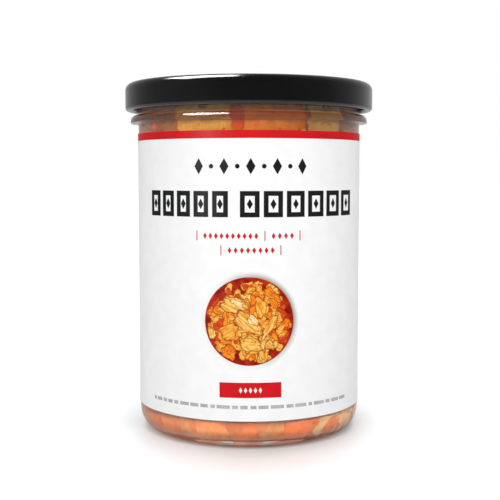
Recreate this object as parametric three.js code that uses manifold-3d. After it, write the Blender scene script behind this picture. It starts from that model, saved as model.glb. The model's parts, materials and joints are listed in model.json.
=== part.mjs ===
// A shut glass jar of kimchi: a straight-sided jar, a twist-off metal lid, a label wrapped round the glass,
// and the fermented cabbage that fills it up to the lid's lower edge.
// Millimetres, +Z up. The origin is the centre of the ring that the jar stands on, and the front faces -Y.
import * as THREE from "three";
import { mergeVertices } from "three/addons/utils/BufferGeometryUtils.js";
import Module from "manifold-3d";

const wasm = await Module();
wasm.setup();

// Driving dimensions
const BODY_RADIUS = 38.5;
const GLASS_WALL = 2.6;
const RIM_HEIGHT = 118.2;
const LID_RADIUS = 43.0;
const LID_TOP = 119.6;
const LID_BOTTOM = 110.0;
const LABEL_BOTTOM = 9.3;
const LABEL_TOP = 102.25;
const FILL_HEIGHT = 111.6;
const ROUND_STEPS = 60;

// Glass
const INNER_RADIUS = BODY_RADIUS - GLASS_WALL;
const BASE_THICKNESS = 2.8;
const FOOT_WIDTH = 2.5;
const PUNT_RISE = 1.6;
const PUNT_POWER = 4;
const HEEL = { inset: 5.5, height: 7.5 };
const INNER_HEEL = { inset: 5.0, height: 6.6 };
const HEEL_STEPS = 5;
const DOME_STEPS = 3;
const CORNER_STEPS = 2;
const FOOT_RADIUS = BODY_RADIUS - HEEL.inset;
const BEAD = { reach: 2.7, bottom: 105.2, top: 109.0, corner: 0.7, slopeStart: 107.9, slopeTurn: 1.26 };
const NECK_RADIUS = BODY_RADIUS + 0.1;
const RIM_ROUNDING = 1.3;

// Lid
const LID_SHEET = 0.7;
const LID_EDGE_ROUNDING = 2.6;
const LID_PANEL = { radius: 33.5, depth: 1.0, slope: 1.6 };
const LID_BUTTON = { radius: 11.0, rise: 0.35, slope: 0.9 };
const SEAL = { inner: 35.6, outer: 39.6, gap: 0.12 };
const CURL_RADIUS = 1.2;
const CURL_WIDTH = 2.4;
const LUG = { count: 4, reach: 1.4, arc: 0.3, height: 1.2, lift: 0.1, steps: 4, firstTurn: Math.PI / 4 };
const ARC_STEPS = 4;

// Label
const LABEL_THICKNESS = 0.16;
const LABEL_GAP = 0.06;
const LABEL_OVERLAP_STEPS = 2;

// Kimchi: a core, with pieces of cabbage and shreds pressed against the glass and lying on top and underneath
const FOOD_GAP = 0.32;
const CORE = { radius: 33.6, top: FILL_HEIGHT - 3.4, bottomGap: 1.6, steps: 24 };
const LEAF = { width: [13, 24], height: [9, 15], thickness: [2.4, 4.4], wave: [0.25, 0.8], lean: 0.5 };
const SHRED = { width: [12, 20], height: [2.0, 3.2], thickness: [1.6, 2.4], wave: [0, 0.15], lean: 0.9 };
const WALL_GRID = { columns: 4, rows: 3 };
const LYING_GRID = { columns: 4, rows: 2 };
const SHRED_GRID = { columns: 4, rows: 1 };
const FLOOR_TOP = BASE_THICKNESS + PUNT_RISE;
const BANDS = [
  { leaves: 14, shreds: 6, heights: [6.0, 13.0], reach: [BASE_THICKNESS + 1.2, 24] },
  { leaves: 14, shreds: 6, heights: [99.5, 108.5], reach: [90, FILL_HEIGHT] },
];
const PILES = [
  { count: 6, spread: 27.0, heights: [CORE.top + 1.0, CORE.top + 2.8], facing: 1 },
  { count: 7, spread: 21.0, heights: [BASE_THICKNESS + 1.2, BASE_THICKNESS + 1.8], facing: -1 },
];
const PIECE_ROUNDING = { ends: 0.18, sides: 0.22 };
const PIECE_WAVES = { across: 2.4, along: 2.1 };
const SINK = 1.2;
const SEED = 20417;

const UP = Math.PI / 2;

// A profile point: a radius and a height.
function point(radius, height) {
  return new THREE.Vector2(radius, height);
}

// Adds points on an ellipse, its start left out, from one angle to another.
function addArc(profile, centre, reach, from, to, steps) {
  for (let i = 1; i <= steps; i += 1) {
    const turn = from + ((to - from) * i) / steps;
    profile.push(point(centre.x + reach.x * Math.cos(turn), centre.y + reach.y * Math.sin(turn)));
  }
}

// A profile of radius and height turned about Z.
function turned(profile, steps = ROUND_STEPS) {
  return new THREE.LatheGeometry(profile, steps).rotateX(UP);
}

// Height of the dome under the jar, or of the one on its floor, at a radius.
function puntHeight(radius, footRadius) {
  return PUNT_RISE * (1 - (radius / footRadius) ** PUNT_POWER);
}

function glassGeometry() {
  const profile = [];
  const innerFoot = FOOT_RADIUS - FOOT_WIDTH;
  for (let i = 0; i <= DOME_STEPS; i += 1) {
    const radius = (innerFoot * i) / DOME_STEPS;
    profile.push(point(radius, puntHeight(radius, innerFoot)));
  }
  profile.push(point(FOOT_RADIUS, 0));
  addArc(profile, point(FOOT_RADIUS, HEEL.height), point(HEEL.inset, HEEL.height), -UP, 0, HEEL_STEPS);

  const beadRadius = BODY_RADIUS + BEAD.reach;
  const corner = point(BEAD.corner, BEAD.corner);
  const lowCorner = point(beadRadius - BEAD.corner, BEAD.bottom + BEAD.corner);
  const highCorner = point(beadRadius - BEAD.corner, BEAD.slopeStart - BEAD.corner);
  profile.push(point(BODY_RADIUS, BEAD.bottom - BEAD.corner));
  profile.push(point(BODY_RADIUS + BEAD.corner, BEAD.bottom));
  profile.push(point(beadRadius - BEAD.corner, BEAD.bottom));
  addArc(profile, lowCorner, corner, -UP, 0, CORNER_STEPS);
  addArc(profile, highCorner, corner, 0, BEAD.slopeTurn, CORNER_STEPS);
  profile.push(point(NECK_RADIUS, BEAD.top));

  const rounding = point(RIM_ROUNDING, RIM_ROUNDING);
  const roundingHeight = RIM_HEIGHT - RIM_ROUNDING;
  profile.push(point(NECK_RADIUS, roundingHeight));
  addArc(profile, point(NECK_RADIUS - RIM_ROUNDING, roundingHeight), rounding, 0, UP, CORNER_STEPS);
  profile.push(point(INNER_RADIUS + RIM_ROUNDING, RIM_HEIGHT));
  addArc(profile, point(INNER_RADIUS + RIM_ROUNDING, roundingHeight), rounding, UP, UP * 2, CORNER_STEPS);

  const innerHeelRadius = INNER_RADIUS - INNER_HEEL.inset;
  const innerHeelCentre = point(innerHeelRadius, BASE_THICKNESS + INNER_HEEL.height);
  profile.push(point(INNER_RADIUS, innerHeelCentre.y));
  addArc(profile, innerHeelCentre, point(INNER_HEEL.inset, INNER_HEEL.height), 0, -UP, HEEL_STEPS);
  for (let i = DOME_STEPS - 1; i >= 0; i -= 1) {
    const radius = (innerHeelRadius * i) / DOME_STEPS;
    profile.push(point(radius, BASE_THICKNESS + puntHeight(radius, innerHeelRadius)));
  }
  return turned(profile);
}

// A closed three.js geometry as a solid that can be joined to others.
function solidOf(geometry) {
  const plain = geometry.clone();
  plain.deleteAttribute("normal");
  plain.deleteAttribute("uv");
  const merged = mergeVertices(plain, 1e-4);
  return new wasm.Manifold(
    new wasm.Mesh({
      numProp: 3,
      vertProperties: merged.attributes.position.array,
      triVerts: new Uint32Array(merged.index.array),
    }),
  );
}

// The largest body of a solid as a geometry: loose scraps go, and a sealed hollow is filled.
function geometryOf(solid) {
  const largest = solid.decompose().reduce((a, b) => (a.volume() > b.volume() ? a : b));
  const mesh = largest.getMesh();
  const geometry = new THREE.BufferGeometry();
  geometry.setAttribute("position", new THREE.BufferAttribute(new Float32Array(mesh.vertProperties), 3));
  geometry.setIndex(new THREE.BufferAttribute(new Uint32Array(mesh.triVerts), 1));
  geometry.computeVertexNormals();
  return geometry;
}

// One inward lug of the lid: a short stretch of flat ring, lying just above the curl's foot.
function lugGeometry(turn) {
  const outer = LID_RADIUS - CURL_RADIUS;
  const inner = LID_RADIUS - CURL_WIDTH - LUG.reach;
  const outline = new THREE.Shape();
  outline.absarc(0, 0, outer, turn - LUG.arc / 2, turn + LUG.arc / 2, false);
  outline.absarc(0, 0, inner, turn + LUG.arc / 2, turn - LUG.arc / 2, true);
  outline.closePath();
  const settings = { depth: LUG.height, bevelEnabled: false, curveSegments: LUG.steps };
  return new THREE.ExtrudeGeometry(outline, settings).translate(0, 0, LID_BOTTOM + LUG.lift);
}

function lidGeometry() {
  const buttonTop = LID_TOP - LID_PANEL.depth + LID_BUTTON.rise;
  const panelTop = LID_TOP - LID_PANEL.depth;
  const innerSkirt = LID_RADIUS - LID_SHEET;
  const edge = point(LID_RADIUS - LID_EDGE_ROUNDING, LID_TOP - LID_EDGE_ROUNDING);
  const innerRounding = LID_EDGE_ROUNDING - LID_SHEET;
  const curl = point(LID_RADIUS - CURL_RADIUS, LID_BOTTOM + CURL_RADIUS);

  const profile = [];
  const underside = (x, y) => profile.push(point(x, y - LID_SHEET));
  underside(0, buttonTop);
  underside(LID_BUTTON.radius, buttonTop);
  underside(LID_BUTTON.radius + LID_BUTTON.slope, panelTop);
  underside(LID_PANEL.radius, panelTop);
  underside(LID_PANEL.radius + LID_PANEL.slope, LID_TOP);
  profile.push(point(SEAL.inner, RIM_HEIGHT + SEAL.gap));
  profile.push(point(SEAL.outer, RIM_HEIGHT + SEAL.gap));
  profile.push(point(edge.x, LID_TOP - LID_SHEET));
  addArc(profile, edge, point(innerRounding, innerRounding), UP, 0, ARC_STEPS);
  profile.push(point(innerSkirt, LID_BOTTOM + CURL_WIDTH));
  profile.push(point(LID_RADIUS - CURL_WIDTH, LID_BOTTOM + CURL_WIDTH - CURL_RADIUS / 2));
  profile.push(point(LID_RADIUS - CURL_WIDTH, LID_BOTTOM + CURL_RADIUS / 2));
  profile.push(point(LID_RADIUS - CURL_WIDTH + CURL_RADIUS / 2, LID_BOTTOM));
  profile.push(point(curl.x, LID_BOTTOM));
  addArc(profile, curl, point(CURL_RADIUS, CURL_RADIUS), -UP, 0, ARC_STEPS - 1);
  profile.push(point(LID_RADIUS, edge.y));
  addArc(profile, edge, point(LID_EDGE_ROUNDING, LID_EDGE_ROUNDING), 0, UP, ARC_STEPS);
  profile.push(point(LID_PANEL.radius + LID_PANEL.slope, LID_TOP));
  profile.push(point(LID_PANEL.radius, panelTop));
  profile.push(point(LID_BUTTON.radius + LID_BUTTON.slope, panelTop));
  profile.push(point(LID_BUTTON.radius, buttonTop));
  profile.push(point(0, buttonTop));

  let lid = solidOf(turned(profile));
  for (let i = 0; i < LUG.count; i += 1) {
    lid = lid.add(solidOf(lugGeometry(LUG.firstTurn + (i * 2 * Math.PI) / LUG.count)));
  }
  return geometryOf(lid);
}

// The label is one strip. Its end lies over its start at the back, so the strip steps out there.
function labelGeometry() {
  const start = UP;
  const step = (2 * Math.PI) / ROUND_STEPS;
  const inner = [];
  const outer = [];
  for (let i = 0; i <= ROUND_STEPS + LABEL_OVERLAP_STEPS; i += 1) {
    const lifted = i >= ROUND_STEPS ? LABEL_THICKNESS + LABEL_GAP : 0;
    const radius = BODY_RADIUS + LABEL_GAP + lifted;
    const turn = start + i * step;
    const direction = new THREE.Vector2(Math.cos(turn), Math.sin(turn));
    inner.push(direction.clone().multiplyScalar(radius));
    outer.push(direction.clone().multiplyScalar(radius + LABEL_THICKNESS));
  }
  const outline = new THREE.Shape([...outer, ...inner.reverse()]);
  const settings = { depth: LABEL_TOP - LABEL_BOTTOM, bevelEnabled: false };
  return new THREE.ExtrudeGeometry(outline, settings).translate(0, 0, LABEL_BOTTOM);
}

// A repeatable source of numbers from 0 to 1.
function randomSource(seed) {
  let state = seed;
  return () => {
    state = (state + 0x6d2b79f5) | 0;
    let mixed = Math.imul(state ^ (state >>> 15), 1 | state);
    mixed = (mixed + Math.imul(mixed ^ (mixed >>> 7), 61 | mixed)) ^ mixed;
    return ((mixed ^ (mixed >>> 14)) >>> 0) / 4294967296;
  };
}

// Radius of the free room inside the glass at a height.
function roomRadius(height) {
  const heelTop = BASE_THICKNESS + INNER_HEEL.height;
  if (height >= heelTop) {
    return INNER_RADIUS - FOOD_GAP;
  }
  const down = Math.min(1, (heelTop - height) / INNER_HEEL.height);
  const across = Math.sqrt(1 - down * down);
  return INNER_RADIUS - INNER_HEEL.inset * (1 - across) - FOOD_GAP;
}

// A closed wavy slab with a grid of points on each face. place(u, v, side) gives a point, with u and v
// from -1 to 1, and side 0 on the outer face and 1 on the inner one.
function slabGeometry(grid, place) {
  const { columns, rows } = grid;
  const positions = [];
  const index = [];
  const across = columns + 1;
  const face = across * (rows + 1);
  for (const side of [0, 1]) {
    for (let j = 0; j <= rows; j += 1) {
      for (let i = 0; i <= columns; i += 1) {
        positions.push(...place((2 * i) / columns - 1, (2 * j) / rows - 1, side));
      }
    }
  }
  for (let j = 0; j < rows; j += 1) {
    for (let i = 0; i < columns; i += 1) {
      const a = j * across + i;
      const [b, c, d] = [a + 1, a + across + 1, a + across];
      index.push(a, b, c, a, c, d);
      index.push(a + face, c + face, b + face, a + face, d + face, c + face);
    }
  }
  const columnSteps = Array.from({ length: columns }, (_, i) => i);
  const rowSteps = Array.from({ length: rows }, (_, j) => j);
  const edge = [
    ...columnSteps,
    ...rowSteps.map((j) => j * across + columns),
    ...columnSteps.map((i) => rows * across + columns - i),
    ...rowSteps.map((j) => (rows - j) * across),
  ];
  edge.forEach((a, i) => {
    const b = edge[(i + 1) % edge.length];
    index.push(a, a + face, b + face, a, b + face, b);
  });
  const geometry = new THREE.BufferGeometry();
  geometry.setAttribute("position", new THREE.Float32BufferAttribute(positions, 3));
  geometry.setIndex(index);
  return geometry;
}

// Draws the shape of one piece: half its width and height, its lean, thickness, waves and uneven outline.
function drawnPiece(random, kind) {
  const between = ([low, high]) => low + (high - low) * random();
  return {
    halfWidth: between(kind.width) / 2,
    halfHeight: between(kind.height) / 2,
    lean: kind.lean * between([-1, 1]),
    thickness: between(kind.thickness),
    wave: between(kind.wave),
    phase: between([0, 2 * Math.PI]),
    taper: between([-0.3, 0.3]),
    skew: between([-0.25, 0.25]),
  };
}

// Place on a piece's own flat plane, for grid coordinates from -1 to 1.
function onPlane(piece, u, v) {
  const narrowing = 1 - PIECE_ROUNDING.ends * v * v + piece.taper * v;
  const s = piece.halfWidth * u * narrowing + piece.skew * piece.halfHeight * v;
  const t = piece.halfHeight * v * (1 - PIECE_ROUNDING.sides * u * u);
  const [cos, sin] = [Math.cos(piece.lean), Math.sin(piece.lean)];
  return [s * cos - t * sin, s * sin + t * cos];
}

// How far a piece's face bends at a place on it, from -1 to 1 times the piece's wave.
function waveAt(piece, u, v) {
  return Math.sin(PIECE_WAVES.across * u + piece.phase) * Math.cos(PIECE_WAVES.along * v + piece.phase);
}

// A piece pressed against the inside of the glass and curved with it. Its height is kept within reach.
function wallPiece(random, kind, grid, turn, height, reach) {
  const piece = drawnPiece(random, kind);
  return slabGeometry(grid, (u, v, side) => {
    const [s, t] = onPlane(piece, u, v);
    const z = THREE.MathUtils.clamp(height + t, reach[0], reach[1]);
    const dent = (piece.wave * (1 + waveAt(piece, u, v))) / 2;
    const radius = roomRadius(z) - dent - side * (piece.thickness + SINK);
    const angle = turn + s / INNER_RADIUS;
    return [radius * Math.sin(angle), -radius * Math.cos(angle), z];
  });
}

// A piece that lies flat, on top of the core where it faces 1 and under it where it faces -1.
function lyingPiece(random, place, height, facing) {
  const piece = drawnPiece(random, LEAF);
  const heading = 2 * Math.PI * random();
  const [cos, sin] = [Math.cos(heading), Math.sin(heading)];
  return slabGeometry(LYING_GRID, (u, v, side) => {
    const [s, t] = onPlane(piece, u, v);
    const x = place.x + s * cos - t * sin;
    const y = place.y + s * sin + t * cos;
    const rise = piece.wave * waveAt(piece, u, v) - side * (piece.thickness + SINK);
    const dome = facing > 0 ? 0 : puntHeight(Math.min(Math.hypot(x, y), FOOT_RADIUS), FOOT_RADIUS);
    return [facing * x, y, height + dome + facing * rise];
  });
}

function kimchiGeometry() {
  const random = randomSource(SEED);
  const between = ([low, high]) => low + (high - low) * random();
  const coreBottom = FLOOR_TOP + CORE.bottomGap;
  const coreProfile = [
    point(0, coreBottom),
    point(roomRadius(coreBottom) - CORE.bottomGap, coreBottom),
    point(CORE.radius, BASE_THICKNESS + INNER_HEEL.height),
    point(CORE.radius, CORE.top),
    point(0, CORE.top),
  ];
  const pieces = [solidOf(turned(coreProfile, CORE.steps))];

  const ringOf = (kind, grid, count, band) => {
    for (let i = 0; i < count; i += 1) {
      const turn = (2 * Math.PI * (i + random() / 2)) / count;
      pieces.push(solidOf(wallPiece(random, kind, grid, turn, between(band.heights), band.reach)));
    }
  };
  for (const band of BANDS) {
    ringOf(LEAF, WALL_GRID, band.leaves, band);
    ringOf(SHRED, SHRED_GRID, band.shreds, band);
  }

  const goldenTurn = Math.PI * (3 - Math.sqrt(5));
  for (const pile of PILES) {
    for (let i = 0; i < pile.count; i += 1) {
      const out = pile.spread * Math.sqrt(i / pile.count);
      const place = { x: out * Math.cos(i * goldenTurn), y: out * Math.sin(i * goldenTurn) };
      pieces.push(solidOf(lyingPiece(random, place, between(pile.heights), pile.facing)));
    }
  }
  return geometryOf(wasm.Manifold.union(pieces));
}

// Finishes
const glass = new THREE.MeshStandardMaterial({
  color: 0xe9f1ee,
  roughness: 0.03,
  metalness: 0,
  transparent: true,
  opacity: 0.35,
});
const lacquer = new THREE.MeshStandardMaterial({ color: 0x141414, roughness: 0.32, metalness: 0.2 });
const paper = new THREE.MeshStandardMaterial({ color: 0xf4f4f4, roughness: 0.45, metalness: 0 });
const cabbage = new THREE.MeshStandardMaterial({ color: 0xd98445, roughness: 0.35, metalness: 0 });

function named(name, geometry, material) {
  const mesh = new THREE.Mesh(geometry, material);
  mesh.name = name;
  return mesh;
}

const jar = new THREE.Group();
jar.add(named("glass_jar", glassGeometry(), glass));
jar.add(named("twist_lid", lidGeometry(), lacquer));
jar.add(named("wrap_label", labelGeometry(), paper));
jar.add(named("kimchi", kimchiGeometry(), cabbage));

export default jar;
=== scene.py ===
import json
import math
import random
import bmesh
import bpy
from mathutils import Matrix, Vector, noise

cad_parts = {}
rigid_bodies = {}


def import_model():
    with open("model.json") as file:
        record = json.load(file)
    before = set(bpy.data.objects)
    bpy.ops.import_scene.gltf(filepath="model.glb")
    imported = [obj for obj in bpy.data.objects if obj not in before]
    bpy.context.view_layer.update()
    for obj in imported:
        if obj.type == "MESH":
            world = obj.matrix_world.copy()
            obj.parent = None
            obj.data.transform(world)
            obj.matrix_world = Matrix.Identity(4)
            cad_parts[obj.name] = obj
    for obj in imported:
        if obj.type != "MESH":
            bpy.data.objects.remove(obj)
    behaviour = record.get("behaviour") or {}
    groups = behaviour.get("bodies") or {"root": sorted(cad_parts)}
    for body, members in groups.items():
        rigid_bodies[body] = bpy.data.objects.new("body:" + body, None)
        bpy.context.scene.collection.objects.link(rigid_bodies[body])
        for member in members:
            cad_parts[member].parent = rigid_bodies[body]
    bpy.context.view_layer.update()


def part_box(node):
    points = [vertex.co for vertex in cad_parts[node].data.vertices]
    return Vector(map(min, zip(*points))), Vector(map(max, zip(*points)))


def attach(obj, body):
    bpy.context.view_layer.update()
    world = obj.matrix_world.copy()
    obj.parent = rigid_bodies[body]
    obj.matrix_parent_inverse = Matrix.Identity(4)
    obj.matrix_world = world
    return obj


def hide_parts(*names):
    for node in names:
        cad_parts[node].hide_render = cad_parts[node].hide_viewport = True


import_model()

# Sizes are millimetres and angles degrees, but floor, lights and camera are set in metres.
# The jar's axis is Z, and angle 0 is the front, towards -Y.
METRE = 0.001
FULL_TURN = 2 * math.pi


def node_box(node):
    """A node's lowest and highest corners, in millimetres."""
    low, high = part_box(node)
    return Vector(low) / METRE, Vector(high) / METRE


GLASS_HIGH = node_box("glass_jar")[1]
LID_LOW, LID_HIGH = node_box("twist_lid")
LABEL_LOW, LABEL_HIGH = node_box("wrap_label")
FOOD_HIGH = node_box("kimchi")[1]

# Glass sizes
BEAD_RADIUS = GLASS_HIGH.x
BEAD_OVERHANG = 2.7
BODY_RADIUS = BEAD_RADIUS - BEAD_OVERHANG
WALL_THICKNESS = 2.6
INNER_RADIUS = BODY_RADIUS - WALL_THICKNESS
NECK_STEP = 0.1
NECK_RADIUS = BODY_RADIUS + NECK_STEP
RIM_HEIGHT = GLASS_HIGH.z
RIM_ROUNDING = 1.3
STRAIGHT_TOP = 100.0
STRAIGHT_BOTTOM = 12.0
INNER_STRAIGHT_BOTTOM = 14.0
HEEL = (5.5, 7.5)
FOOT_RADIUS = BODY_RADIUS - HEEL[0]
FOOT_WIDTH = 2.5
BASE_THICKNESS = 2.8
DOME_RISE = 1.6
DOME_STEPS = 10
INNER_HEEL = (5.0, 6.6)
INNER_HEEL_RADIUS = INNER_RADIUS - INNER_HEEL[0]
INNER_HEEL_TOP = BASE_THICKNESS + INNER_HEEL[1]
BEAD_BOTTOM = 105.8
BEAD_FACE_TOP = 106.6
BEAD_TOP = 108.5
BEAD_ROUNDING = (1.6, 1.9)
BEAD_CORNER = 0.45
UNDER_BEAD_FILLET = 0.4
OVER_BEAD_FILLET = 0.3
ROUND_STEPS = 192

# Lid sizes
LID_RADIUS = LID_HIGH.x
LID_TOP = LID_HIGH.z
LID_BOTTOM = LID_LOW.z
LID_SHEET = 0.7
LID_ROUNDING = 2.6
CURL_RADIUS = 1.2
PANEL_RADIUS = 33.5
PANEL_DEPTH = 1.0
PANEL_SLOPE = 1.6
PANEL_FILLET = 0.6
BUTTON_RADIUS = 11.0
BUTTON_RISE = 0.35
BUTTON_SLOPE = 0.9
BUTTON_FILLET = 0.5
SEAL_INNER, SEAL_OUTER = 35.6, 39.6
SEAL_HEIGHT = RIM_HEIGHT + 0.1
LUG_ARC = 0.3
LUG_COUNT = 4

# Label sizes
PAPER_INNER = BODY_RADIUS + 0.06
PAPER_THICKNESS = 0.16
PAPER_RADIUS = PAPER_INNER + PAPER_THICKNESS
PAPER_COLUMNS = 310
LAP = math.radians(12)
LAP_RISE = 0.05
LAP_GLUE = 0.06
LABEL_BOTTOM = LABEL_LOW.z
LABEL_TOP = LABEL_HIGH.z
RED_BAND_BOTTOM = 99.72
INK_LAYER = 0.02
STRIP_WIDTH = 1.2

# Food sizes. A negative gap presses a piece into the glass, so that no brine shows before it.
FILL_HEIGHT = FOOD_HIGH.z
BRINE_LEVEL = FILL_HEIGHT - 0.6
BRINE_SAG = 0.5
INTO_WALL = 0.05
FOOD_GAP = 0.12
PRESSED_GAP = -0.07
CHILLI_GAP = FOOD_GAP - 0.04
STEM_THICKNESS = 2.4
LEAF_THICKNESS = 1.6
FRONT_LEAF_THICKNESS = 1.4
CORE_DEPTH = 1.5
CORE_TOP = FILL_HEIGHT - 1.2
CORE_STEPS = 160


# Mesh helpers

def place_object(name, data):
    """A new object in the scene."""
    made = bpy.data.objects.new(name, data)
    bpy.context.scene.collection.objects.link(made)
    return made


def object_from(bm, name, material):
    """A finished mesh as an object."""
    mesh = bpy.data.meshes.new(name)
    bm.to_mesh(mesh)
    bm.free()
    mesh.materials.append(material)
    return place_object(name, mesh)


def new_piece(bm, name, material, nodes=(), sharp=40):
    """Turn a finished mesh, in millimetres, into an object that rides on the jar."""
    bmesh.ops.scale(bm, vec=Vector((METRE,) * 3), verts=bm.verts)
    for face in bm.faces:
        face.smooth = True
    piece = object_from(bm, name, material)
    piece.data.set_sharp_from_angle(angle=math.radians(sharp))
    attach(piece, "root")
    if nodes:
        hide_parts(*nodes)


def arc(centre, reach, start, end, steps):
    """Points on an ellipse from one angle to another, both ends included."""
    turns = [math.radians(start + (end - start) * i / steps) for i in range(steps + 1)]
    return [(centre[0] + reach[0] * math.cos(t), centre[1] + reach[1] * math.sin(t)) for t in turns]


def rounding(radius, height, size, start, end, steps):
    """Points on a small circle about a place in a profile."""
    return arc((radius, height), (size, size), start, end, steps)


def dome_rise(radius, foot_radius):
    """How far the domed base stands above its foot at a radius."""
    return DOME_RISE * (1 - (radius / foot_radius) ** 4)


def dome(foot_radius, base):
    """The shallow dome of the jar's base, from the axis out."""
    radii = [foot_radius * i / DOME_STEPS for i in range(DOME_STEPS + 1)]
    return [(radius, base + dome_rise(radius, foot_radius)) for radius in radii]


def spun(profile, steps=ROUND_STEPS):
    """A closed skin turned about Z from a profile of radii and heights."""
    bm = bmesh.new()
    verts = [bm.verts.new((radius, 0, height)) for radius, height in profile]
    edges = [bm.edges.new(pair) for pair in zip(verts, verts[1:])]
    bmesh.ops.spin(
        bm, geom=verts + edges, cent=(0, 0, 0), axis=(0, 0, 1), angle=FULL_TURN,
        steps=steps, use_merge=True, use_duplicate=False)
    bmesh.ops.remove_doubles(bm, verts=bm.verts, dist=0.002)
    turn_out(bm)
    return bm


def turn_out(bm):
    """Point all the faces of closed skins outwards."""
    bmesh.ops.recalc_face_normals(bm, faces=bm.faces)


def wrap(bm, radius):
    """Bend a flat sheet round the jar. X runs along the paper, Z up, Y is depth below its face."""
    for vert in bm.verts:
        turn = vert.co.x / PAPER_RADIUS
        out = radius - vert.co.y
        vert.co.x = out * math.sin(turn)
        vert.co.y = -out * math.cos(turn)


def cut_across(bm, along):
    """Cut a flat sheet from top to bottom at one place."""
    geom = bm.verts[:] + bm.edges[:] + bm.faces[:]
    bmesh.ops.bisect_plane(bm, geom=geom, dist=0.001, plane_co=(along, 0, 0), plane_no=(1, 0, 0))


def lift_lap(bm):
    """Raise a flat sheet where the label's end laps over its start."""
    for turn in (math.pi - LAP_RISE, math.pi):
        cut_across(bm, turn * PAPER_RADIUS)
    for vert in bm.verts:
        past_start = (vert.co.x / PAPER_RADIUS - math.pi + LAP_RISE) / LAP_RISE
        vert.co.y -= min(1.0, max(0.0, past_start)) * (PAPER_THICKNESS + LAP_GLUE)


def sliced(bm):
    """Cut a flat sheet into upright strips so that it can bend."""
    width = max(abs(vert.co.x) for vert in bm.verts)
    count = math.ceil(width / STRIP_WIDTH)
    for i in range(-count, count + 1):
        cut_across(bm, i * STRIP_WIDTH)


# Node helpers

def new_group(name, inputs, outputs):
    """A shader node group, from its inputs' start values and its outputs' kinds."""
    group = bpy.data.node_groups.new(name, "ShaderNodeTree")
    for key, value in inputs.items():
        kind = "NodeSocketColor" if isinstance(value, tuple) else "NodeSocketFloat"
        group.interface.new_socket(key, in_out="INPUT", socket_type=kind).default_value = value
    for key, kind in outputs.items():
        group.interface.new_socket(key, in_out="OUTPUT", socket_type="NodeSocket" + kind)
    start = group.nodes.new("NodeGroupInput")
    return group, start.outputs, group.nodes.new("NodeGroupOutput")


def fill(tree, node, **values):
    """Set or link a node's inputs, where an underscore in a name stands for a space."""
    for key, value in values.items():
        by_place = key[0] == "i" and key[1:].isdigit()
        socket = node.inputs[int(key[1:]) if by_place else key.replace("_", " ")]
        if isinstance(value, bpy.types.NodeSocket):
            tree.links.new(value, socket)
        else:
            socket.default_value = value


def add(tree, kind, settings=None, **values):
    """Add a node, with values or other nodes' outputs by the socket's name."""
    node = tree.nodes.new("ShaderNode" + kind)
    for key, value in (settings or {}).items():
        setattr(node, key, value)
    fill(tree, node, **values)
    return node


def use_group(tree, group, **values):
    """Place a shared node group in a material with its own values."""
    return add(tree, "Group", {"node_tree": group}, **values)


def object_place(tree):
    """The place on the object, in metres."""
    return add(tree, "TexCoord").outputs["Object"]


def by_number(values):
    """Values named for the first, second and later inputs of a node."""
    return {"i%d" % i: value for i, value in enumerate(values)}


def sum_of(tree, operation, *values, clamp=False):
    """What a Math node works out of numbers or other outputs."""
    settings = {"operation": operation, "use_clamp": clamp}
    return add(tree, "Math", settings, **by_number(values)).outputs[0]


def vector_sum(tree, operation, *values):
    """What a Vector Math node works out: a number for a length or a dot product."""
    node = add(tree, "VectorMath", {"operation": operation}, **by_number(values))
    return node.outputs["Value" if operation in ("LENGTH", "DOT_PRODUCT") else "Vector"]


def clouds(tree, place, scale, detail, distortion=0.0):
    """Soft noise at a place."""
    node = add(tree, "TexNoise", Vector=place, Scale=scale, Detail=detail, Distortion=distortion)
    return node.outputs["Fac"]


def stretched(tree, value, low, high, to_low=0.0, to_high=1.0, curve="LINEAR"):
    """A value carried from one range to another and kept in it."""
    node = add(tree, "MapRange", {"interpolation_type": curve}, Value=value,
               From_Min=low, From_Max=high, To_Min=to_low, To_Max=to_high)
    return node.outputs["Result"]


def blend(tree, amount, first, second, kind="MIX"):
    """Two colours blended by an amount."""
    settings = {"data_type": "RGBA", "blend_type": kind}
    return add(tree, "Mix", settings, i0=amount, i6=first, i7=second).outputs[2]


def ramp(tree, factor, stops):
    """A colour ramp with the given places and colours."""
    node = add(tree, "ValToRGB", Fac=factor)
    elements = node.color_ramp.elements
    while len(elements) < len(stops):
        elements.new(0.5)
    for element, (place, colour) in zip(elements, stops):
        element.position = place
        element.color = (*colour, 1)
    return node.outputs["Color"]


def surface(name, **values):
    """A material with one Principled shader. Values are the shader's own constants."""
    material = bpy.data.materials.new(name)
    material.use_nodes = True
    tree = material.node_tree
    shader = tree.nodes["Principled BSDF"]
    fill(tree, shader, **values)
    return material, tree, shader


def bump(tree, shader, height, distance):
    """Give a shader relief from a height, with its depth in millimetres."""
    node = add(tree, "Bump", Strength=1.0, Distance=distance * METRE, Height=height)
    fill(tree, shader, Normal=node.outputs["Normal"])


# Shared finishes

def make_mottle():
    """Soft patches between two colours, with the mask they follow."""
    group, sockets, end = new_group(
        "mottle",
        {"Colour A": (1, 1, 1, 1), "Colour B": (0, 0, 0, 1), "Scale": 100.0, "Detail": 4.0,
         "Low": 0.35, "High": 0.65},
        {"Colour": "Color", "Mask": "Float"})
    patches = clouds(group, object_place(group), sockets["Scale"], sockets["Detail"])
    mask = stretched(group, patches, sockets["Low"], sockets["High"])
    fill(group, end, Colour=blend(group, mask, sockets["Colour A"], sockets["Colour B"]), Mask=mask)
    return group


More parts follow.
